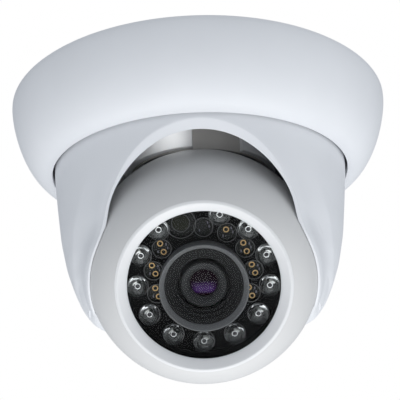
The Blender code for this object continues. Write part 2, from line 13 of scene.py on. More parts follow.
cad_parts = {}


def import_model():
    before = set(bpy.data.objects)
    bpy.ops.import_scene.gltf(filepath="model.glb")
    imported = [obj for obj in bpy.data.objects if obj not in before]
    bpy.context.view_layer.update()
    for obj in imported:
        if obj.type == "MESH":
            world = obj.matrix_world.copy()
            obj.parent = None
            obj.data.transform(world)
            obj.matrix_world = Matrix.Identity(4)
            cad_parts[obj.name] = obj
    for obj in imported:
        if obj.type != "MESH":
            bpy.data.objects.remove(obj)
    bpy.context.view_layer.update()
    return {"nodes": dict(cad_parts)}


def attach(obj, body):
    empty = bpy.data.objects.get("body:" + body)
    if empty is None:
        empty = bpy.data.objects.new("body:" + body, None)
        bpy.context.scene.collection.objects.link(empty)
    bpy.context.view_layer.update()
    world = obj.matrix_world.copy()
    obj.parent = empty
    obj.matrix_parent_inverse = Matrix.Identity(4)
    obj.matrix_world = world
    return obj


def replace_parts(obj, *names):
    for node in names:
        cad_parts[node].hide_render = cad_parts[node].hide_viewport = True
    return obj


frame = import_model()
MM = 0.001

# Trim ring and base.
RING_R = 55.0
RING_LIP_R = 42.86
RING_DROP = 20.4
RING_WALL = 2.2
CABLE_AT = (0.0, 12.0)

# Ball: its centre, how far its optical axis is turned from straight up, and heights along that axis.
BALL_R = 31.4
BALL_AT = (0.0, -10.1, -49.6)
LOOK_DEG = 124.0
FACE = 19.9
SHOULDER = 10.0
BEZEL_R = 22.26
BEZEL_FOOT = 16.3
SPINDLE_HOLE_R = 4.7

# Turret: radii round the ball's centre of the socket and of the lip round it, and the wall's thickness.
SOCKET_R = 31.8
SOCKET_EDGE_R = 31.46
LIP_SPHERE_R = 31.95
LIP_EDGE_R = 31.6
LIP_ROUND = 2.4
LIP_SOFT = 1.6
WALL = 1.4
LOW_WALL = 0.5

# Face behind the window: places for twelve LEDs and the light sensor, with spare holes between them.
FACE_SLOTS = 13
SLOT_STEP = 360.0 / FACE_SLOTS
FACE_TURN_DEG = -1.4
LED_PITCH = 17.1
LED_RISE = 0.35
SENSOR_SLOT = 7
SENSOR_PITCH = 15.8
SENSOR_DEG = 110.0
SENSOR_R = 2.15
PAD_PITCH = 12.9
PAD_RISE = 0.8
PAD_SLOTS = (2, 3, 4, 5, 6, 8, 9, 10)
BARE_SLOT = 6
LONE_SLOT = 5
LENS_DROP = 1.1
MASK_R = 19.95
MASK_TOP = 12.3
MASK_LOW = 11.5
BOARD_TOP = 11.2
DOME_R = 2.45
DOME_FOOT = 13.55

WORLD_FRAME = Matrix()
BALL_FRAME = Matrix.Translation(Vector(BALL_AT) * MM) @ Matrix.Rotation(math.radians(LOOK_DEG), 4, "X")


def polar(pitch, degrees):
    """A point on a circle as (x, y)."""
    angle = math.radians(degrees)
    return pitch * math.cos(angle), pitch * math.sin(angle)


# ---------------------------------------------------------------- materials


class Nodes:
    """A material's node tree, with short ways to add and link nodes."""

    def __init__(self, name):
        self.material = bpy.data.materials.new(name)
        self.material.use_nodes = True
        self.tree = self.material.node_tree
        self.shader = self.tree.nodes["Principled BSDF"]
        self.output = self.tree.nodes["Material Output"]

    def add(self, kind, **values):
        node = self.tree.nodes.new(kind)
        for key, value in values.items():
            if hasattr(node, key):
                setattr(node, key, value)
            else:
                node.inputs[key.replace("_", " ")].default_value = value
        return node

    def link(self, source, target):
        self.tree.links.new(source, target)

    def place(self):
        return self.add("ShaderNodeTexCoord").outputs["Object"]

    def noise(self, scale, detail=2.0, roughness=0.5):
        node = self.add("ShaderNodeTexNoise", Scale=scale, Detail=detail, Roughness=roughness)
        self.link(self.place(), node.inputs["Vector"])
        return node.outputs["Fac"]

    def spread(self, source, low, high, start=0.35, end=0.65):
        """Map start..end of the source to low..high, and hold it there beyond."""
        node = self.add("ShaderNodeMapRange")
        node.inputs["From Min"].default_value = start
        node.inputs["From Max"].default_value = end
        node.inputs["To Min"].default_value = low
        node.inputs["To Max"].default_value = high
        self.link(source, node.inputs["Value"])
        return node.outputs["Result"]

    def blend(self, factor, first, second):
        """Mix two colours; each may be a colour or another node's output."""
        node = self.add("ShaderNodeMix", data_type="RGBA")
        if hasattr(factor, "is_output"):
            self.link(factor, node.inputs[0])
        else:
            node.inputs[0].default_value = factor
        for socket, colour in ((node.inputs[6], first), (node.inputs[7], second)):
            if hasattr(colour, "is_output"):
                self.link(colour, socket)
            else:
                socket.default_value = (*colour, 1.0)
        return node.outputs[2]

    def times(self, first, second):
        """The product of two values; the second may be a plain number."""
        node = self.add("ShaderNodeMath", operation="MULTIPLY")
        self.link(first, node.inputs[0])
        if hasattr(second, "is_output"):
            self.link(second, node.inputs[1])
        else:
            node.inputs[1].default_value = second
        return node.outputs[0]

    def bump(self, height, distance):
        node = self.add("ShaderNodeBump", Strength=1.0, Distance=distance)
        self.link(height, node.inputs["Height"])
        self.link(node.outputs["Normal"], self.shader.inputs["Normal"])


def moulded(name, colour, roughness, metallic=0.0, grain=2500.0, depth=2e-6, tint=0.03, specular=0.5):
    """A moulded, painted or metal surface: fine grain, slow colour drift and uneven gloss."""
    nodes = Nodes(name)
    drift = nodes.noise(60.0, 3.0)
    darker = tuple(c * (1.0 - tint) for c in colour)
    lighter = tuple(min(1.0, c * (1.0 + tint)) for c in colour)
    tone = nodes.blend(nodes.spread(drift, 0.0, 1.0), darker, lighter)
    nodes.link(tone, nodes.shader.inputs["Base Color"])
    gloss = nodes.noise(300.0, 4.0, 0.6)
    nodes.link(nodes.spread(gloss, roughness * 0.88, roughness * 1.12), nodes.shader.inputs["Roughness"])
    nodes.bump(nodes.noise(grain, 2.0), depth)
    nodes.shader.inputs["Metallic"].default_value = metallic
    nodes.shader.inputs["Specular IOR Level"].default_value = specular
    return nodes.material


def clear(name, tint, reflect):
    """Thin clear glass: mostly transparent, with a Fresnel reflection."""
    nodes = Nodes(name)
    through = nodes.add("ShaderNodeBsdfTransparent")
    through.inputs["Color"].default_value = (*tint, 1.0)
    shine = nodes.add("ShaderNodeBsdfGlossy", Roughness=0.0)
    edge = nodes.add("ShaderNodeFresnel", IOR=1.45)
    smear = nodes.spread(nodes.noise(120.0, 3.0), 0.85, 1.0)
    amount = nodes.times(nodes.times(edge.outputs["Fac"], smear), reflect)
    mix = nodes.add("ShaderNodeMixShader")
    nodes.link(amount, mix.inputs[0])
    nodes.link(through.outputs[0], mix.inputs[1])
    nodes.link(shine.outputs[0], mix.inputs[2])
    nodes.link(mix.outputs[0], nodes.output.inputs["Surface"])
    return nodes.material


def epoxy(name):
    """Cast clear epoxy that refracts, and lets light through to what is inside."""
    nodes = Nodes(name)
    glass = nodes.add("ShaderNodeBsdfGlass", IOR=1.5, Roughness=0.0)
    haze = nodes.spread(nodes.noise(900.0, 3.0), 0.93, 1.0)
    tone = nodes.blend(haze, (0.75, 0.78, 0.80), (1.0, 1.0, 1.0))
    nodes.link(tone, glass.inputs["Color"])
    through = nodes.add("ShaderNodeBsdfTransparent")
    path = nodes.add("ShaderNodeLightPath")
    mix = nodes.add("ShaderNodeMixShader")
    nodes.link(path.outputs["Is Shadow Ray"], mix.inputs[0])
    nodes.link(glass.outputs[0], mix.inputs[1])
    nodes.link(through.outputs[0], mix.inputs[2])
    nodes.link(mix.outputs[0], nodes.output.inputs["Surface"])
    return nodes.material


PAINTED = {"grain": 1800.0, "depth": 1.5e-6, "tint": 0.01, "specular": 0.4}
WHITE = moulded("white_paint", (0.80, 0.815, 0.84), 0.42, **PAINTED)
PAINT = moulded("ball_paint", (0.69, 0.69, 0.685), 0.4, **PAINTED)
BEZEL = moulded("bezel_paint", (0.78, 0.785, 0.79), 0.4, **PAINTED)
BAND = moulded("white_collar", (0.86, 0.87, 0.88), 0.5, grain=1500.0, depth=2e-6, tint=0.02)
# The sleeve is the white inner plastic, painted darker and warmer as the shade in the hood's recess.
SLEEVE_SHADE = moulded("sleeve_painted_shade", (0.62, 0.60, 0.57), 0.5, grain=1500.0, depth=2e-6, tint=0.05)
CAST = moulded("cast_alloy", (0.55, 0.56, 0.58), 0.45, metallic=0.9, grain=900.0, depth=8e-6, tint=0.08)
STEEL = moulded("plain_steel", (0.62, 0.62, 0.64), 0.28, metallic=1.0, grain=1200.0, depth=2e-6, tint=0.05)
RUBBER = moulded("black_rubber", (0.02, 0.02, 0.02), 0.75, grain=1500.0, depth=6e-6, tint=0.2)
FOAM = moulded("closed_foam", (0.035, 0.035, 0.037), 0.9, grain=1100.0, depth=4e-5, tint=0.3, specular=0.2)

MASK = moulded("mask_black", (0.0035, 0.0035, 0.004), 0.55, grain=1600.0, depth=4e-6, tint=0.25,
               specular=0.05)
# The rims' grey is a painted highlight on the black mask's hole edges.
RIM_HIGHLIGHT = moulded("mask_rim_painted_highlight", (0.13, 0.13, 0.13), 0.35, grain=1600.0, depth=2e-6, tint=0.2)
BOARD = moulded("board_lacquer", (0.005, 0.006, 0.005), 0.3, grain=700.0, depth=3e-6, tint=0.3,
                specular=0.2)
GREEN_BOARD = moulded("board_green", (0.02, 0.12, 0.05), 0.35, grain=700.0, depth=3e-6, tint=0.2)
GOLD = moulded("gold_pad", (0.72, 0.47, 0.21), 0.3, metallic=1.0, grain=1500.0, depth=1e-6, tint=0.08)
CHIP = moulded("chip_grey", (0.16, 0.15, 0.2), 0.35, grain=3000.0, depth=1e-6, tint=0.2)
SENSOR = moulded("sensor_window", (0.012, 0.013, 0.005), 0.15, grain=900.0, depth=1e-6, tint=0.3,
                 specular=0.15)

SHROUD = moulded("shroud_plastic", (0.17, 0.17, 0.173), 0.5, grain=1500.0, depth=3e-6, tint=0.08,
                 specular=0.3)
# The bore is the shroud's dark plastic, darkened further as painted shade deep in the tube.
BORE_SHADE = moulded("bore_black_painted_shade", (0.011, 0.011, 0.0115), 0.6, grain=1500.0, depth=3e-6, tint=0.15,
               specular=0.15)
BARREL = moulded("barrel_black", (0.03, 0.03, 0.031), 0.4, grain=1500.0, depth=2e-6, tint=0.15,
                 specular=0.2)

SILVER = moulded("led_cup", (0.85, 0.85, 0.84), 0.16, metallic=1.0, grain=2500.0, depth=1e-6, tint=0.05)
# The lead head is diffuse near-white so it shows the bright comma glint: a painted glint.
LEAD_GLINT = moulded("lead_head_painted_glint", (0.95, 0.95, 0.93), 0.3, metallic=0.25, grain=2500.0, depth=1e-6, tint=0.03)
DIE = moulded("led_die", (0.06, 0.055, 0.06), 0.3, grain=3000.0, depth=1e-6, tint=0.2)

JACKET = moulded("cable_jacket", (0.025, 0.025, 0.026), 0.45, grain=1800.0, depth=4e-6, tint=0.1)
COPPER = moulded("bare_copper", (0.83, 0.43, 0.28), 0.3, metallic=1.0, grain=2500.0, depth=2e-6, tint=0.1)
PLUG = moulded("nylon_plug", (0.8, 0.77, 0.68), 0.5, grain=1500.0, depth=3e-6, tint=0.04)
CORE_COLOURS = {
    "core_red": (0.5, 0.03, 0.02),
    "core_blue": (0.03, 0.08, 0.4),
    "core_yellow": (0.7, 0.5, 0.04),
    "core_white": (0.75, 0.75, 0.72),
}
CORE_TONES = [moulded(name, colour, 0.4, depth=1e-6) for name, colour in CORE_COLOURS.items()]

GLASS = clear("window_glass", (0.96, 0.97, 0.97), 0.12)
EPOXY = epoxy("led_epoxy_clear")


def lens_with_painted_reflection():
    """The dark front lens, with the coating's violet reflection painted as a glow over the lower half."""
    nodes = Nodes("lens_with_painted_reflection")
    split = nodes.add("ShaderNodeSeparateXYZ")
    nodes.link(nodes.place(), split.inputs[0])
    nodes.shader.inputs["Roughness"].default_value = 0.03
    nodes.shader.inputs["Specular IOR Level"].default_value = 0.1
    below_middle = nodes.spread(split.outputs["Y"], 1.0, 0.0, -0.0012, 0.0006)
    sides = nodes.add("ShaderNodeMath", operation="ABSOLUTE")
    nodes.link(split.outputs["X"], sides.inputs[0])
    near_middle = nodes.spread(sides.outputs[0], 1.0, 0.0, 0.0018, 0.0036)
    above_edge = nodes.spread(split.outputs["Y"], 0.0, 1.0, -0.0031, -0.0022)
    speckle = nodes.spread(nodes.noise(700.0, 2.0), 0.75, 1.0)
    share = nodes.times(nodes.times(nodes.times(below_middle, near_middle), above_edge), speckle)
    # Emission paints a faint glow over the whole lens and the coating's violet reflection over the lower
    # half: a painted reflection, not a lamp.
    tone = nodes.blend(share, (0.004, 0.001, 0.0015), (0.045, 0.016, 0.095))
    nodes.link(tone, nodes.shader.inputs["Emission Color"])
    nodes.shader.inputs["Emission Strength"].default_value = 1.0
    nodes.shader.inputs["Base Color"].default_value = (0.004, 0.003, 0.006, 1.0)
    return nodes.material


LENS = lens_with_painted_reflection()


# ---------------------------------------------------------------- mesh helpers


def finish_mesh(name, work, body, material, place=WORLD_FRAME, sharp=32.0, own_frame=False):
    """The made mesh as a piece that rides on a body; own_frame leaves its place out of the mesh."""
    bmesh.ops.recalc_face_normals(work, faces=work.faces)
    if not own_frame:
        bmesh.ops.transform(work, matrix=place, verts=work.verts)
    mesh = bpy.data.meshes.new(name)
    work.to_mesh(mesh)
    work.free()
    mesh.shade_smooth()
    mesh.set_sharp_from_angle(angle=math.radians(sharp))
    mesh.materials.append(material)
    made = bpy.data.objects.new(name, mesh)
    bpy.context.scene.collection.objects.link(made)
    if own_frame:
        made.matrix_world = place
    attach(made, body)
    return made


def add_grid(work, rows):
    """Faces over a closed ring of rows, each a closed loop of points; a row of one point is a pole."""
    made = []
    for row in rows:
        points = row if len(row) > 1 else row[:1]
        made.append([work.verts.new(Vector(p) * MM) for p in points])
    count = len(made)
    for i in range(count):
        first, second = made[i], made[(i + 1) % count]
        size = max(len(first), len(second))
        if len(first) == 1 and len(second) == 1:
            continue
        for j in range(size):
            k = (j + 1) % size
            near = (first[j % len(first)], first[k % len(first)])
            far = (second[k % len(second)], second[j % len(second)])
            unique = list(dict.fromkeys(near + far))
            if len(unique) > 2:
                work.faces.new(unique)


def add_lathe(work, outline, steps, centre=(0.0, 0.0)):
    """A closed turned form from (radius, height) points listed in order; radius 0 makes a pole."""
    rows = []
    for radius, height in outline:
        if radius < 1e-9:
            rows.append([(centre[0], centre[1], height)])
            continue
        rows.append([
            (centre[0] + radius * math.cos(2 * math.pi * i / steps),
             centre[1] + radius * math.sin(2 * math.pi * i / steps), height)
            for i in range(steps)
        ])
    add_grid(work, rows)


def add_bar(work, rings):
    """A closed bar through rings of vertices that all have the same number of corners."""
    size = len(rings[0])
    for first, second in zip(rings, rings[1:]):
        for i in range(size):
            k = (i + 1) % size
            work.faces.new([first[i], first[k], second[k], second[i]])
    work.faces.new(rings[0])
    work.faces.new(rings[-1][::-1])


def rounded(outline, radius, steps=3):
    """The outline with each corner turned into a small arc; radius is one number or one for each corner."""
    radii = radius if isinstance(radius, (list, tuple)) else [radius] * len(outline)
    result = []
    count = len(outline)
    for i, (corner, size) in enumerate(zip(outline, radii)):
        here = Vector(corner)
        before = Vector(outline[i - 1]) - here
        after = Vector(outline[(i + 1) % count]) - here
        turn = before.angle(after) if before.length and after.length else math.pi
        if size <= 0 or corner[0] < 1e-9 or turn > math.radians(172):
            result.append(tuple(here))
            continue
        reach = min(size / math.tan(turn / 2), before.length * 0.45, after.length * 0.45)
        start = here + before.normalized() * reach
        end = here + after.normalized() * reach
        for j in range(steps + 1):
            t = j / steps
            result.append(tuple(start.lerp(here, t).lerp(here.lerp(end, t), t)))
    return result


def lathe(name, outline, body, material, steps=128, place=WORLD_FRAME, own_frame=False):
    """One turned piece that rides on a body."""
    work = bmesh.new()
    add_lathe(work, outline, steps)
    return finish_mesh(name, work, body, material, place, own_frame=own_frame)


def bored(made, bores, low, high, place=WORLD_FRAME, sides=48):
    """Cut round holes, given as (x, y, radius), through a piece from one height to another."""
    for number, (x, y, radius) in enumerate(bores):
        work = bmesh.new()
        add_lathe(work, [(0, low), (radius, low), (radius, high), (0, high)], sides, (x, y))
        bmesh.ops.recalc_face_normals(work, faces=work.faces)
        bmesh.ops.transform(work, matrix=place, verts=work.verts)
        mesh = bpy.data.meshes.new(f"bore_{number}")
        work.to_mesh(mesh)
        work.free()
        cutter = bpy.data.objects.new(mesh.name, mesh)
        bpy.context.scene.collection.objects.link(cutter)
        step = made.modifiers.new(cutter.name, "BOOLEAN")
        step.object = cutter
        step.solver = "EXACT"
    bpy.context.view_layer.update()
    graph = bpy.context.evaluated_depsgraph_get()
    result = bpy.data.meshes.new_from_object(made.evaluated_get(graph))
    for step in list(made.modifiers):
        cutter = step.object
        made.modifiers.remove(step)
        bpy.data.objects.remove(cutter)
    made.data = result
    made.data.shade_smooth()
    made.data.set_sharp_from_angle(angle=math.radians(32))


# ---------------------------------------------------------------- trim ring


def bell(edge, drop, count):
    """The ring's flared side from its upright rim down to its lip, as (radius, z) points."""
    rim = 1.0
    across_power, down_power = 0.94, 1.445
    points = []
    for i in range(count):
        turn = math.pi / 2 * i / (count - 1)
        radius = RING_LIP_R + (edge - RING_LIP_R) * max(math.cos(turn), 0.0) ** across_power
        points.append((radius, -rim - (drop - rim) * math.sin(turn) ** down_power))
    return points


def trim_ring():
    """The flared ring: the same bell outside and inside, joined by small chamfers."""
    outside = [(RING_R - 0.25, 0.0), (RING_R, -0.25)] + bell(RING_R, RING_DROP, 40)
    outside[-1] = (RING_LIP_R + 0.12, -RING_DROP)
    inside = [(RING_LIP_R, -RING_DROP + 0.12)] + bell(RING_R - RING_WALL, RING_DROP - 1.8, 24)[::-1]
    inside.append((RING_R - RING_WALL, 0.0))
    made = lathe("ring_skin", outside + inside, "base", WHITE, steps=224)
    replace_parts(made, "trim_ring")


def base():
    """The cast plate with its hub and holes, the foam ring, and the cable in its grommet."""
    plate = [
        (0, 0), (44.7, 0), (44.7, -1.2), (49.3, -1.2), (49.3, 0), (52.2, 0), (52.2, -2.6),
        (27.6, -2.6), (27.6, -9.0), (23.4, -9.0), (23.4, -2.6), (0, -2.6),
    ]
    made = lathe("base_plate", rounded(plate, 0.2), "base", CAST, 192)
    bores = [(*CABLE_AT, 5.0)]
    bores += [(*polar(36.0, 90 + 120 * i), 2.2) for i in range(3)]
    bores += [(*polar(25.5, 30 + 120 * i), 1.3) for i in range(3)]
    bored(made, bores, -12.0, 1.0)
    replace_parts(made, "mounting_base")
    foam = [(45.0, -0.05), (49.0, -0.05), (49.0, -0.9), (45.0, -0.9)]
    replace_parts(lathe("foam_ring", rounded(foam, 0.25), "base", FOAM, 192), "ceiling_gasket")
    place = Matrix.Translation(Vector((*CABLE_AT, 0.0)) * MM)
    grommet = [(2.9, -0.2), (4.7, -0.2), (4.7, -2.9), (7.5, -2.9), (7.0, -4.4), (3.6, -6.0), (2.9, -6.0)]
    made = lathe("grommet_skin", rounded(grommet, 0.3), "base", RUBBER, 64, place)
    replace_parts(made, "cable_grommet")
    jacket = [(2.5, -0.2), (2.5, -9.0), (1.9, -9.0), (1.9, -0.2)]
    made = lathe("cable_jacket", rounded(jacket, 0.1), "base", JACKET, 48, place)
    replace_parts(made, "signal_cable")
    filler = [(0, -0.5), (1.88, -0.5), (1.88, -8.8), (0, -8.8)]
    lathe("cable_filler", filler, "base", FOAM, 40, place)
    for number, tone in enumerate(CORE_TONES):
        x, y = polar(1.1, 45 + 90 * number)
        at = place @ Matrix.Translation(Vector((x, y, 0.0)) * MM)
        core = rounded([(0, -0.25), (0.6, -0.25), (0.6, -0.9), (0, -0.9)], 0.08)
        lathe(f"cable_core_{number + 1}", core, "base", tone, 24, at)
        wire = rounded([(0, -0.21), (0.26, -0.21), (0.26, -0.7), (0, -0.7)], 0.05)
        lathe(f"cable_wire_{number + 1}", wire, "base", COPPER, 16, at)


# ---------------------------------------------------------------- turret housing

# Curves against z: the turned side's radius, the y of the hood's edge seen from the side, and the angle
# from the front at which each flat cheek begins.
SIDE_Z = (-65.5, -63.0, -59.0, -54.0, -48.0, -40.0, -30.0, -20.0, -6.2)
SIDE_R = (27.0, 30.2, 33.45, 35.77, 37.95, 39.75, 41.08, 42.2, 42.3)
HOOD_Z = (-64.0, -62.0, -57.0, -51.5, -48.0, -43.0, -38.2, -35.7, -31.0, -25.2, -21.2, -18.0)
HOOD_Y = (-8.0, -12.0, -18.5, -24.5, -28.0, -30.4, -32.4, -33.5, -36.0, -39.4, -42.2, -44.2)
CREASE_Z = (-62.0, -55.5, -52.9, -47.1, -40.8, -35.2, -26.0)
CREASE_DEG = (100.0, 84.0, 74.0, 64.4, 57.5, 51.2, 42.0)

# The z ranges over which the cheeks flatten, the lip rounds off and the wall thickens, from none to all.
CHEEK_RANGE = (-26.0, -45.0)
LIP_RANGE = (-26.0, -38.0)
WALL_RANGE = (-40.0, -20.0)

# Angles from the front beyond which the wall is plainly turned, and the narrowest cheek.
BACK_OF_LIP = math.radians(115)
BACK_OF_SOCKET = math.radians(120)
LEAST_CHEEK = 0.02

# The floor round the ball's opening, the flange at the top, the fillets and the mesh's counts.
FLOOR_Z = -62.0
FLOOR_TOP_Z = -60.4
HOOD_TOP_Z = -18.5
FLANGE_TOP_Z = -6.2
FLANGE_LOW_Z = -8.2
FLANGE_R = 28.2
FLOOR_FILLET = 1.0
LIP_FILLET = 0.35
TURRET_COLUMNS = 288
OUTER_ROWS = 60
INNER_ROWS = 40


def smooth_curve(x, xs, ys):
    """A smooth curve through points, by averaging straight interpolation over a short span."""
    span = 1.6
    offsets = np.linspace(-span, span, 9)
    return float(np.mean([np.interp(x + o, xs, ys) for o in offsets]))


def side_radius(z):
    return smooth_curve(z, SIDE_Z, SIDE_R)


def hood_y(z):
    return smooth_curve(z, HOOD_Z, HOOD_Y)


def sphere_radius(angle, z, size):
    """How far from the turret's axis a sphere round the ball's centre reaches, at an angle from the front."""
    dz = z - BALL_AT[2]
    push = -BALL_AT[1]
    inside = size ** 2 - dz ** 2 - (push * math.sin(angle)) ** 2
    if inside <= 0:
        return 0.0
    return push * math.cos(angle) + math.sqrt(inside)


def smooth_step(value, low, high):
    """0 at low, 1 at high, with a soft start and end; high may be the smaller one."""
    t = min(1.0, max(0.0, (value - low) / (high - low)))
    return t * t * (3 - 2 * t)


def lip_angle(z, turned):
    """The angle from the front at which the wall meets the hood's edge, and the wall's radius there."""
    radius = turned
    angle = 0.0
    for _ in range(8):
        angle = math.acos(min(1.0, max(-1.0, -hood_y(z) / radius)))
        radius = max(turned, sphere_radius(angle, z, LIP_EDGE_R))
    return angle, radius


def chord_radius(angle, first, first_radius, second, second_radius):
    """The radius, at an angle, of the straight line between two points given by angle and radius."""
    spread = first_radius * math.sin(angle - first) + second_radius * math.sin(second - angle)
    return first_radius * second_radius * math.sin(second - first) / spread


def soft_max(first, second, soft):
    """The larger of two values, with a rounded passage from one to the other while they differ by less."""
    gap = abs(first - second)
    return max(first, second) + (max(0.0, soft - gap) ** 2) / (4 * soft)


def outer_radius(angle, z):
    """The turret's outside: turned, with a flat cheek between a crease and the hood's edge on each side."""
    turned = side_radius(z)
    from_front = abs(angle)
    radius = turned
    crease = math.radians(float(np.interp(z, CREASE_Z, CREASE_DEG)))
    edge, edge_radius = lip_angle(z, turned)
    lip_depth = LIP_SPHERE_R - LIP_EDGE_R
    if from_front < crease and crease > edge + LEAST_CHEEK:
        chord = chord_radius(max(from_front, edge), edge, edge_radius + lip_depth, crease, turned)
        share = smooth_step(z, *CHEEK_RANGE)
        radius = turned * (1 - share) + chord * share
    if from_front > BACK_OF_LIP:
        return radius
    radius = soft_max(radius, sphere_radius(from_front, z, LIP_SPHERE_R), LIP_SOFT)
    behind = -radius * math.cos(from_front) - hood_y(z)
    rise = min(1.0, max(0.0, behind / LIP_ROUND))
    return radius - lip_depth * (1 - rise) ** 2 * smooth_step(z, *LIP_RANGE)


def inner_radius(angle, z):
    """The turret's inside: the turned wall, or the socket round the ball where that reaches further."""
    turned = side_radius(z) - LOW_WALL - (WALL - LOW_WALL) * smooth_step(z, *WALL_RANGE)
    if abs(angle) > BACK_OF_SOCKET:
        return turned
    behind = -turned * math.cos(angle) - hood_y(z)
    size = SOCKET_EDGE_R + (SOCKET_R - SOCKET_EDGE_R) * smooth_step(behind, 1.0, 3.0)
    return max(turned, sphere_radius(abs(angle), z, size))


def lip_height(angle, radius_at):
    """The height at which the wall at this angle meets the hood's edge, or None if it reaches the floor."""
    low, high = FLOOR_Z, HOOD_TOP_Z

    def ahead(z):
        return -radius_at(angle, z) * math.cos(angle) - hood_y(z)

    if ahead(low) >= 0:
        return None
    for _ in range(40):
        middle = (low + high) / 2
        if ahead(middle) < 0:
            low = middle
        else:
            high = middle
    return high


def spaced(start, end, count, include_end=False):
    """Evenly spaced numbers from start; the end is left out unless asked for."""
    return [start + (end - start) * i / (count - (1 if include_end else 0)) for i in range(count)]


def floor_edge(angle):
    """Where the wall meets the floor: outer corner, the opening's lower and upper edge, and a fillet."""
    outer = outer_radius(angle, FLOOR_Z)
    behind = -outer * math.cos(angle) - hood_y(FLOOR_Z)
    hole = min(sphere_radius(abs(angle), FLOOR_Z, SOCKET_EDGE_R), outer - 0.1)
    top_z = FLOOR_Z + (FLOOR_TOP_Z - FLOOR_Z) * smooth_step(behind, 0.0, 5.0)
    top = min(sphere_radius(abs(angle), top_z, SOCKET_EDGE_R), outer + 1.0)
    fillet = min(FLOOR_FILLET, 0.6 * (outer - hole))
    return (outer, FLOOR_Z), (hole, FLOOR_Z), (top, top_z), fillet


def hood_edge(angle, outer_z):
    """Where the wall ends in the hood's edge: outer corner, middle and inner corner, and a fillet."""
    inner_z = lip_height(angle, inner_radius) or outer_z
    outer = (outer_radius(angle, outer_z), outer_z)
    inner = (inner_radius(angle, inner_z), inner_z)
    middle = ((outer[0] + inner[0]) / 2, (outer[1] + inner[1]) / 2)
    fillet = min(LIP_FILLET, 0.9 * math.dist(outer, middle))
    return outer, middle, inner, fillet


def turret_column(angle):
    """The wall's (radius, z) outline at one angle from the front, always with the same number of points."""
    edge_z = lip_height(angle, outer_radius)
    at_floor = edge_z is None
    outer, middle, inner, fillet = floor_edge(angle) if at_floor else hood_edge(angle, edge_z)
    corner = Vector(outer)
    middle = Vector(middle)
    wall_end = outer[1] + fillet
    column = [(outer_radius(angle, z), z) for z in spaced(FLANGE_TOP_Z, wall_end, OUTER_ROWS)]
    start = Vector((outer_radius(angle, wall_end), wall_end))
    foot = corner.lerp(middle, fillet / (middle - corner).length)
    column += [tuple(start.lerp(corner, t).lerp(corner.lerp(foot, t), t)) for t in spaced(0.0, 1.0, 6)]
    column += [tuple(foot.lerp(middle, t)) for t in spaced(0.0, 1.0, 4)]
    column += [tuple(middle.lerp(Vector(inner), t)) for t in spaced(0.0, 1.0, 3)]
    edge_radius, start_z = inner
    if at_floor:
        wall_foot = inner_radius(angle, start_z)
        column += [(edge_radius + (wall_foot - edge_radius) * t, start_z) for t in spaced(0.0, 1.0, 6)]
    else:
        first_z = start_z + (FLANGE_LOW_Z - start_z) * 0.01
        column += [(inner_radius(angle, z), z) for z in spaced(start_z, first_z, 6)]
        start_z = first_z
    inside = spaced(start_z, FLANGE_LOW_Z, INNER_ROWS, include_end=True)
    column += [(inner_radius(angle, z), z) for z in inside]
    column += [(FLANGE_R, FLANGE_LOW_Z), (FLANGE_R, FLANGE_TOP_Z)]
    return column


def turret_housing():
    """The turning housing with its arched hood, made of columns all round it."""
    angles = [2 * math.pi * (i + 0.5) / TURRET_COLUMNS - math.pi for i in range(TURRET_COLUMNS)]
    columns = [turret_column(a) for a in angles]
    rows = []
    for k in range(len(columns[0])):
        rows.append([
            (column[k][0] * math.sin(a), -column[k][0] * math.cos(a), column[k][1])
            for a, column in zip(angles, columns)
        ])
    work = bmesh.new()
    add_grid(work, rows)
    bmesh.ops.remove_doubles(work, verts=work.verts, dist=2e-6)
    made = finish_mesh("turret_skin", work, "turret", WHITE, sharp=40.0)
    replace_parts(made, "turret_housing")


# ---------------------------------------------------------------- ball


def ball_arc(radius, start, end, count):
    """Points on a circle round the ball's centre between two heights."""
    first, last = math.asin(start / radius), math.asin(end / radius)
    angles = [first + (last - first) * i / (count - 1) for i in range(count)]
    return [(radius * math.cos(a), radius * math.sin(a)) for a in angles]


def shoulder(count):
    """The arc from the ball's sphere to the face, tangent to the sphere."""
    start = Vector((math.sqrt(BALL_R ** 2 - SHOULDER ** 2), SHOULDER))
    end = Vector((BEZEL_R + 0.02, FACE))
    normal = start / BALL_R
    chord = end - start
    radius = -chord.length_squared / (2 * chord.dot(normal))
    centre = start - normal * radius
    first = math.atan2(*(start - centre).yx)
    last = math.atan2(*(end - centre).yx)
    angles = [first + (last - first) * i / (count - 1) for i in range(count)]
    return [(centre[0] + radius * math.cos(a), centre[1] + radius * math.sin(a)) for a in angles]


def ball():
    """The two shells of the ball and the bezel ring round the window."""
    outside = shoulder(28)[::-1] + ball_arc(BALL_R, SHOULDER, -2.85, 16)[1:] + [(31.1, -3.0)]
    inside = [
        (29.2, -3.0), (29.1, 3.0), (27.2, 9.5), (25.2, 12.6), (22.0, 12.6), (22.0, 9.6),
        (20.2, 9.6), (20.2, 16.0), (BEZEL_R + 0.02, 16.0),
    ]
    made = lathe("ball_skin", outside + inside, "ball", PAINT, 192, BALL_FRAME)
    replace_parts(made, "ball_front_shell")
    inner_r = 29.4
    rear = [(31.0, -3.3)] + ball_arc(BALL_R, -3.55, -math.sqrt(BALL_R ** 2 - SPINDLE_HOLE_R ** 2), 30)
    rear += ball_arc(inner_r, -math.sqrt(inner_r ** 2 - SPINDLE_HOLE_R ** 2), -3.3, 16)
    made = lathe("ball_back_skin", rear, "ball", PAINT, 160, BALL_FRAME)
    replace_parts(made, "ball_rear_shell")
    bezel = [
        (BEZEL_R, BEZEL_FOOT), (21.2, BEZEL_FOOT), (21.2, 18.25), (19.22, 18.2), (19.22, 18.32),
        (21.5, 20.2), (BEZEL_R, FACE),
    ]
    bezel = rounded(bezel, [0, 0, 0, 0.08, 0.1, 0.5, 0])
    made = lathe("bezel_skin", bezel, "ball", BEZEL, 192, BALL_FRAME)
    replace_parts(made, "bezel_ring")


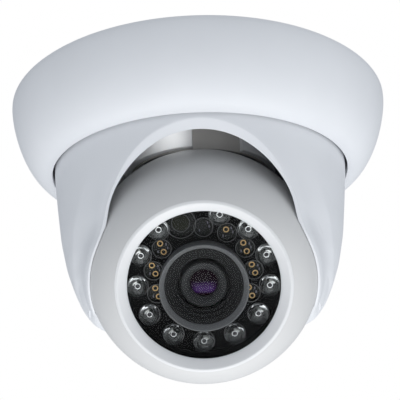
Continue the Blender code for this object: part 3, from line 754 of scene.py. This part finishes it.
# ---------------------------------------------------------------- face behind the window


def face_place(slot, pitch, rise):
    """Where a place on the face is; slots count anticlockwise from the bottom."""
    x, y = polar(pitch, FACE_TURN_DEG - 90 + slot * SLOT_STEP)
    return x, y + rise


def led_places():
    """Slot, x and y of each LED."""
    for slot in range(FACE_SLOTS):
        if slot != SENSOR_SLOT:
            yield slot, *face_place(slot, LED_PITCH, LED_RISE)


def pad_places():
    """Slot, x and y of each spare hole; it lies half a step past its slot."""
    for slot in PAD_SLOTS:
        yield slot, *face_place(slot + 0.5, PAD_PITCH, PAD_RISE)


SENSOR_AT = polar(SENSOR_PITCH, SENSOR_DEG)


def mask():
    """The black plate, cut in one Boolean with all of its holes, and thin rims painted lighter grey than the
    plate as a painted highlight on the hole edges.
    """
    holes = [(x, y, 2.62) for _, x, y in led_places()]
    holes += [(x, y, 2.3) for _, x, y in pad_places()]
    holes.append((*SENSOR_AT, 3.7))
    holes.append((0.0, -LENS_DROP, 7.2))
    work = bmesh.new()
    plate = [(0, MASK_TOP), (MASK_R, MASK_TOP), (MASK_R, MASK_LOW), (0, MASK_LOW)]
    add_lathe(work, rounded(plate, 0.05), 160)
    made = finish_mesh("mask_plate", work, "ball", MASK, BALL_FRAME)
    bored(made, holes, 10.0, 14.0, BALL_FRAME)
    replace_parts(made, "led_mask")
    work = bmesh.new()
    low, high = MASK_TOP + 0.02, MASK_TOP + 0.2
    # Each rim is lighter grey than the black plate: a painted highlight standing for the bright outline of
    # the hole.
    for x, y, radius in holes[:-1]:
        section = [(radius + 0.02, low), (radius + 0.24, low), (radius + 0.18, high), (radius + 0.06, high)]
        add_lathe(work, rounded(section, 0.05), 40, (x, y))
    finish_mesh("mask_rims", work, "ball", RIM_HIGHLIGHT, BALL_FRAME)
    wall = [(20.15, 17.2), (19.9, 17.2), (19.9, 12.35), (20.15, 12.35)]
    lathe("mask_wall", rounded(wall, 0.06), "ball", MASK, 160, BALL_FRAME)


def pads():
    """Plated rings on the board, two in most spare holes, the chips beside them, and the dark board."""
    work = bmesh.new()
    chips = bmesh.new()
    along = Vector((0.35, -0.94)).normalized() * 1.2
    across = Vector((-along.y, along.x)) * 1.2
    low, high = BOARD_TOP + 0.02, BOARD_TOP + 0.2
    ring = rounded([(0.5, low), (0.78, low), (0.73, high), (0.55, high)], 0.05)
    chip_size = Matrix.Diagonal((0.3 * MM, 0.6 * MM, 0.3 * MM, 1.0))
    for slot, x, y in pad_places():
        sides = {BARE_SLOT: (), LONE_SLOT: (-0.5,)}.get(slot, (-1, 1))
        for side in sides:
            add_lathe(work, ring, 24, (x + along.x * side, y + along.y * side))
        for push, slide in ((0.95, -0.4), (0.95, 0.5), (-0.9, 0.5)):
            at = Vector((x, y)) + across * push + along * slide
            place = Matrix.Translation(Vector((*at, high)) * MM)
            bmesh.ops.create_cube(chips, size=1.0, matrix=place @ chip_size)
    finish_mesh("board_pads", work, "ball", GOLD, BALL_FRAME)
    finish_mesh("board_chips", chips, "ball", CHIP, BALL_FRAME)
    frame["nodes"]["led_board"].data.materials[0] = BOARD


def leds():
    """Clear domes, each over a small silvered cup with a die in it and the head of the second lead, painted
    near-white as the LED's glint.
    """
    arc = np.linspace(math.pi / 2, 0, 14)
    dome = [(DOME_R * math.cos(a), DOME_FOOT + DOME_R * math.sin(a)) for a in arc]
    dome[0] = (0.0, DOME_FOOT + DOME_R)
    dome += [(2.5, 12.35), (2.6, 12.35), (2.6, 11.45), (0.0, 11.45)]
    cup = [(0.0, 12.3), (0.26, 12.3), (0.34, 12.95), (0.46, 12.95), (0.44, 11.9), (0.0, 11.9)]
    cup = rounded(cup, 0.04, 2)
    die = [(0.0, 12.32), (0.25, 12.32), (0.25, 12.5), (0.0, 12.5)]
    for number, (_, x, y) in enumerate(led_places(), 1):
        work = bmesh.new()
        add_lathe(work, dome, 40, (x, y))
        made = finish_mesh(f"led_dome_{number:02d}", work, "ball", EPOXY, BALL_FRAME)
        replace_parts(made, f"ir_led_{number:02d}")
        work = bmesh.new()
        add_lathe(work, cup, 28, (x, y))
        finish_mesh(f"led_cup_{number:02d}", work, "ball", SILVER, BALL_FRAME)
        work = bmesh.new()
        # The head's side is set by which half of the face the LED sits in, and its near-white colour is a
        # painted glint.
        add_comma(work, (x, y), 25.0 if x > -1.0 else 95.0, 75.0)
        finish_mesh(f"led_lead_{number:02d}", work, "ball", LEAD_GLINT, BALL_FRAME)
        work = bmesh.new()
        add_lathe(work, die, 20, (x, y))
        finish_mesh(f"led_die_{number:02d}", work, "ball", DIE, BALL_FRAME)


def add_comma(work, centre, start_deg, turn_deg):
    """The second lead's head: a curved bar beside the cup, thick at one end and thin at the other; its
    near-white paint is a painted glint.
    """
    reach = 0.72
    rings = []
    for t in np.linspace(0.0, 1.0, 12):
        angle = math.radians(start_deg + turn_deg * t)
        across = Vector((math.cos(angle), math.sin(angle), 0.0))
        half = 0.17 * (1 - t) ** 0.7 + 0.05
        section = ((reach - half, 13.0), (reach + half, 13.1), (reach + half, 12.6), (reach - half, 12.6))
        points = [Vector((*centre, height)) + across * radius for radius, height in section]
        rings.append([work.verts.new(point * MM) for point in points])
    add_bar(work, rings)


def light_sensor():
    """The olive disc in its hole, with a thin rim in the lighter grey of the painted edge highlight."""
    work = bmesh.new()
    disc = [(0, 12.0), (SENSOR_R, 12.0), (SENSOR_R, 11.4), (0, 11.4)]
    add_lathe(work, rounded(disc, 0.2), 40, SENSOR_AT)
    made = finish_mesh("sensor_disc", work, "ball", SENSOR, BALL_FRAME)
    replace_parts(made, "light_sensor")
    work = bmesh.new()
    rim = [(0.05, 12.05), (0.17, 12.05), (0.15, 11.4), (0.07, 11.4)]
    rim = [(SENSOR_R + gap, height) for gap, height in rim]
    add_lathe(work, rounded(rim, 0.03), 40, SENSOR_AT)
    finish_mesh("sensor_rim", work, "ball", RIM_HIGHLIGHT, BALL_FRAME)


def lens():
    """The light shield tube with its stepped bore, darker than the tube's tip partly as painted shade, the
    lens barrel and the front lens.
    """
    place = BALL_FRAME @ Matrix.Translation(Vector((0.0, -LENS_DROP, 0.0)) * MM)
    shroud = [(11.4, 16.85), (11.4, 12.62), (10.5, 12.62), (10.4, 15.1), (10.05, 15.3), (11.15, 17.0)]
    shroud = rounded(shroud, [0.1, 0.1, 0.1, 0.1, 0.12, 0.12])
    made = lathe("shroud_skin", shroud, "ball", SHROUD, 128, place)
    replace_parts(made, "lens_shroud")
    bore = [
        (10.3, 12.7), (6.8, 12.7), (7.0, 13.0), (7.7, 13.2), (7.8, 14.0), (8.6, 14.15), (8.7, 14.8),
        (9.3, 14.95), (9.5, 15.15), (10.3, 15.15),
    ]
    # The bore's near-black is partly the plastic's own dark tone and partly painted shade.
    lathe("shroud_bore", rounded(bore, 0.15), "ball", BORE_SHADE, 128, place)
    barrel = [(6.0, 13.1), (6.0, 6.0), (3.6, 6.0), (3.6, 12.2), (4.4, 12.9), (5.6, 13.5)]
    made = lathe("barrel_skin", rounded(barrel, 0.15), "ball", BARREL, 96, place)
    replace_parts(made, "lens_barrel")
    curve_r, edge_r = 9.0, 3.55
    centre = 12.1 - curve_r
    arc = np.linspace(0.0, math.asin(edge_r / curve_r), 12)
    glass = [(curve_r * math.sin(a), centre + curve_r * math.cos(a)) for a in arc]
    glass += [(edge_r, 11.0), (0.0, 11.0)]
    made = lathe("lens_skin", glass, "ball", LENS, 72, place, own_frame=True)
    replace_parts(made, "front_lens")


# ---------------------------------------------------------------- collar seen through the hood


def arc_wall(name, radii, heights, turn_deg, material, slope=0.0):
    """A thin upright wall along part of a circle; angles run from the front, and its foot can slope."""
    inner, outer = radii
    top, bottom = heights
    section = [(inner, top), (outer, top), (outer, bottom), (inner, bottom + slope)]
    section = rounded(section, [0, 0, 0.3, 0.1])
    count = 2 + int((turn_deg[1] - turn_deg[0]) / 1.5)
    work = bmesh.new()
    rings = []
    for a in np.radians(np.linspace(*turn_deg, count)):
        points = [Vector((r * math.sin(a), -r * math.cos(a), z)) for r, z in section]
        rings.append([work.verts.new(point * MM) for point in points])
    add_bar(work, rings)
    return finish_mesh(name, work, "base", material)


def collar():
    """The fixed collar's flange, its skirt, open for part of the front, and the sleeve inside it, darkened
    with painted shade.
    """
    flange = [(20.5, -9.3), (31.0, -9.3), (31.0, -11.3), (20.5, -11.3)]
    made = lathe("collar_flange", rounded(flange, 0.2), "base", BAND, 160)
    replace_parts(made, "pan_retainer")
    for name, turn_deg in (("collar_left", (-100.0, -5.0)), ("collar_right", (33.0, 100.0))):
        arc_wall(name, (20.5, 22.0), (-11.0, -19.5), turn_deg, BAND)
    # The sleeve's darker warm grey is painted shade for the recess under the hood.
    made = arc_wall("sleeve_skin", (19.4, 20.2), (-9.3, -19.7), (-100.0, 100.0), SLEEVE_SHADE, 0.25)
    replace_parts(made, "hub_sleeve")


# Pieces that keep the CAD's own mesh.
PLAIN = {
    "pan_washer": RUBBER, "shell_seal": RUBBER, "glass_gasket": RUBBER,
    "tilt_yoke": STEEL, "spindle_washer": STEEL, "board_spacer_1": STEEL, "board_spacer_2": STEEL,
    "retainer_screw_1": STEEL, "retainer_screw_2": STEEL, "retainer_screw_3": STEEL,
    "shell_screw_1": STEEL, "shell_screw_2": STEEL, "shell_screw_3": STEEL,
    "ball_spindle": BARREL, "lens_holder": BARREL, "image_sensor": BARREL,
    "front_glass": GLASS, "ir_cut_filter": LENS, "board_plug": PLUG,
    "sensor_board": GREEN_BOARD, "main_board": GREEN_BOARD,
}

trim_ring()
base()
turret_housing()
ball()
mask()
pads()
leds()
light_sensor()
lens()
collar()
for node, material in PLAIN.items():
    frame["nodes"][node].data.materials[0] = material


# ---------------------------------------------------------------- stage


# Large soft lights as name, place in metres and watts, all aimed at the object's middle.
SOFT_LIGHTS = (
    ("front", (0.0, -0.45, -0.45), 0.68),
    ("right", (0.6, -0.15, -0.15), 0.6),
    ("low_left", (-0.38, -0.2, -0.45), 0.5),
    ("low_right", (0.40, -0.16, -0.45), 0.5),
    ("below", (0.0, 0.0, -0.5), 1.3),
)
MIDDLE = (0.0, 0.0, -0.035)


def area(name, at, aim, size, power):
    """An area light; size is its width and height in metres."""
    light = bpy.data.lights.new(name, "AREA")
    light.energy = power
    light.shape = "RECTANGLE"
    light.size, light.size_y = size
    made = bpy.data.objects.new(name, light)
    bpy.context.scene.collection.objects.link(made)
    made.location = at
    made.rotation_euler = (Vector(aim) - Vector(at)).to_track_quat("-Z", "Y").to_euler()
    return made


def world():
    """White behind the object, and a softer cool grey that lights it."""
    made = bpy.data.worlds.new("studio")
    bpy.context.scene.world = made
    made.use_nodes = True
    tree = made.node_tree
    background = tree.nodes["Background"]
    background.inputs["Color"].default_value = (0.80, 0.85, 0.92, 1.0)
    background.inputs["Strength"].default_value = 0.5
    seen = tree.nodes.new("ShaderNodeBackground")
    seen.inputs["Color"].default_value = (1.0, 1.0, 1.0, 1.0)
    seen.inputs["Strength"].default_value = 1.0
    path = tree.nodes.new("ShaderNodeLightPath")
    mix = tree.nodes.new("ShaderNodeMixShader")
    tree.links.new(path.outputs["Is Camera Ray"], mix.inputs[0])
    tree.links.new(background.outputs[0], mix.inputs[1])
    tree.links.new(seen.outputs[0], mix.inputs[2])
    tree.links.new(mix.outputs[0], tree.nodes["World Output"].inputs["Surface"])


def stage():
    """A pale floor far below, the world, the soft lights, and a tiny lamp under the hood for the collar."""
    work = bmesh.new()
    bmesh.ops.create_grid(work, x_segments=1, y_segments=1, size=2.0)
    mesh = bpy.data.meshes.new("floor")
    work.to_mesh(mesh)
    work.free()
    mesh.materials.append(moulded("floor_paper", (0.9, 0.9, 0.9), 0.7, grain=400.0, tint=0.01))
    floor = bpy.data.objects.new("floor", mesh)
    bpy.context.scene.collection.objects.link(floor)
    floor.location = (0.0, 0.0, -0.6)
    world()
    for name, at, power in SOFT_LIGHTS:
        area(name, at, MIDDLE, (0.5, 0.5), power)
    lamp_at, lamp_aim = (-0.003, -0.037, -0.0195), (-0.013, -0.019, -0.0145)
    lamp = area("under_hood", lamp_at, lamp_aim, (0.006, 0.003), 0.00042)
    lamp.data.spread = math.radians(64.0)
    lamp.visible_camera = False


def camera():
    """Below and in front of the object, looking up at it, and rolled a little."""
    target = Vector((-0.3, 0.0, -26.45))
    distance = 249.6
    rise = math.radians(-21.95)
    roll = math.radians(1.91)
    lens_per_width = 2.1425
    back = Vector((0.0, -math.cos(rise), math.sin(rise)))
    right = Vector((1.0, 0.0, 0.0))
    up = right.cross(-back)
    across = math.cos(roll) * right - math.sin(roll) * up
    upward = math.sin(roll) * right + math.cos(roll) * up
    data = bpy.data.cameras.new("camera")
    data.sensor_width = 36.0
    data.lens = data.sensor_width * lens_per_width
    data.clip_start = 0.01
    made = bpy.data.objects.new("camera", data)
    bpy.context.scene.collection.objects.link(made)
    turn = Matrix((across, upward, back)).transposed().to_4x4()
    made.matrix_world = Matrix.Translation((target + back * distance) * MM) @ turn
    bpy.context.scene.camera = made


stage()
camera()
bpy.context.scene.view_settings.view_transform = "Standard"
bpy.context.scene.view_settings.look = "None"
